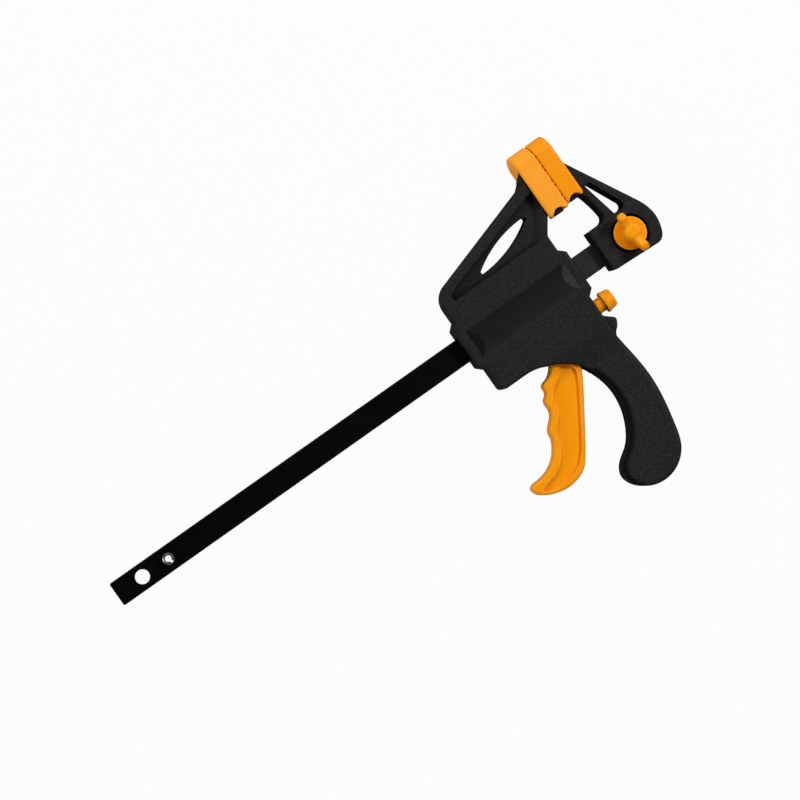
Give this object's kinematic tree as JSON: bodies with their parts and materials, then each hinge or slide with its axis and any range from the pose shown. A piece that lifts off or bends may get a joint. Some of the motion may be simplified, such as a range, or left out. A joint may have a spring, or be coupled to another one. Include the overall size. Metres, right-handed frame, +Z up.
{
  "type": "quick release bar clamp",
  "caption": "One-handed bar clamp, closed: pistol-grip housing that slides along a flat steel bar, trigger, release button, soft jaw pads and a wing knob on the fixed jaw.",
  "frame": {"origin": "below the middle of the closed clamp, at the height of the surface that it lies on, knob up", "axes": "+X along the bar from its free end to the fixed jaw, +Y from the bar to the tips of the pads, +Z up through the thickness to the wing knob"},
  "size_m": [0.28, 0.1506, 0.0286],
  "materials": {
    "black_nylon": "fine moulded grain",
    "black_steel": "black oxide, satin",
    "orange_plastic": "satin moulded",
    "orange_pad": "matt, soft",
    "bright_steel": "zinc plated",
    "spring_steel": "hardened, oiled"
  },
  "bodies": {
    "bar_and_fixed_jaw": {"bar": "black_steel", "stop_pin": "bright_steel", "fixed_jaw": "black_nylon", "fixed_jaw_pad": "orange_pad", "jaw_nut": "bright_steel"},
    "knob_washer": {"knob_washer": "bright_steel"},
    "knob": {"wing_knob": "orange_plastic", "clamp_screw": "bright_steel"},
    "housing": {"housing_near_shell": "black_nylon", "housing_far_shell": "black_nylon", "housing_screws": "bright_steel", "movable_jaw_pad": "orange_pad", "trigger_pivot_pin": "bright_steel", "drive_spring": "spring_steel", "brake_spring": "spring_steel"},
    "trigger": {"trigger": "orange_plastic"},
    "drive_plates": {"drive_plate_front": "spring_steel", "drive_plate_rear": "spring_steel"},
    "brake_plate": {"brake_plate": "spring_steel"},
    "release_button": {"release_button": "orange_plastic", "release_button_ring": "spring_steel"}
  },
  "joints": [
    {"name": "housing_slide", "type": "slide", "parent": "bar_and_fixed_jaw", "child": "housing", "axis": [-1, 0, 0], "range_m": [0, 0.15]},
    {"name": "trigger_pull", "type": "hinge", "parent": "housing", "child": "trigger", "pos_m": [0.07523, 0.0002, 0.011], "axis": [0, 0, 1], "range_deg": [0, 18], "stiffness_Nm_per_rad": 0.25, "springref_deg": -14.32},
    {"name": "drive_plates_slide", "type": "slide", "parent": "housing", "child": "drive_plates", "axis": [-1, 0, 0], "range_m": [0, 0.00244], "deforming": ["drive_spring"]},
    {"name": "release_press", "type": "slide", "parent": "housing", "child": "release_button", "axis": [-1, 0, 0], "range_m": [0, 0.0026], "stiffness_N_per_m": 600, "springref_m": -0.003},
    {"name": "brake_release", "type": "hinge", "parent": "housing", "child": "brake_plate", "pos_m": [0.08563, 0.0282, 0.011], "axis": [0, 0, 1], "range_deg": [-5.6, 0], "deforming": ["brake_spring"]},
    {"name": "knob_lift", "type": "slide", "parent": "bar_and_fixed_jaw", "child": "knob_washer", "axis": [0, 0, 1], "range_m": [0, 0.002]},
    {"name": "knob_turn", "type": "hinge", "parent": "knob_washer", "child": "knob", "pos_m": [0.12632, 0.0193, 0.011], "axis": [0, 0, 1], "range_deg": [0, 720]}
  ],
  "couplings": [
    {"joint": "drive_plates_slide", "follows": "trigger_pull", "m_per_rad": 0.0076598},
    {"joint": "brake_release", "follows": "release_press", "rad_per_m": -37.02},
    {"joint": "knob_turn", "follows": "knob_lift", "rad_per_m": 6283.1}
  ]
}
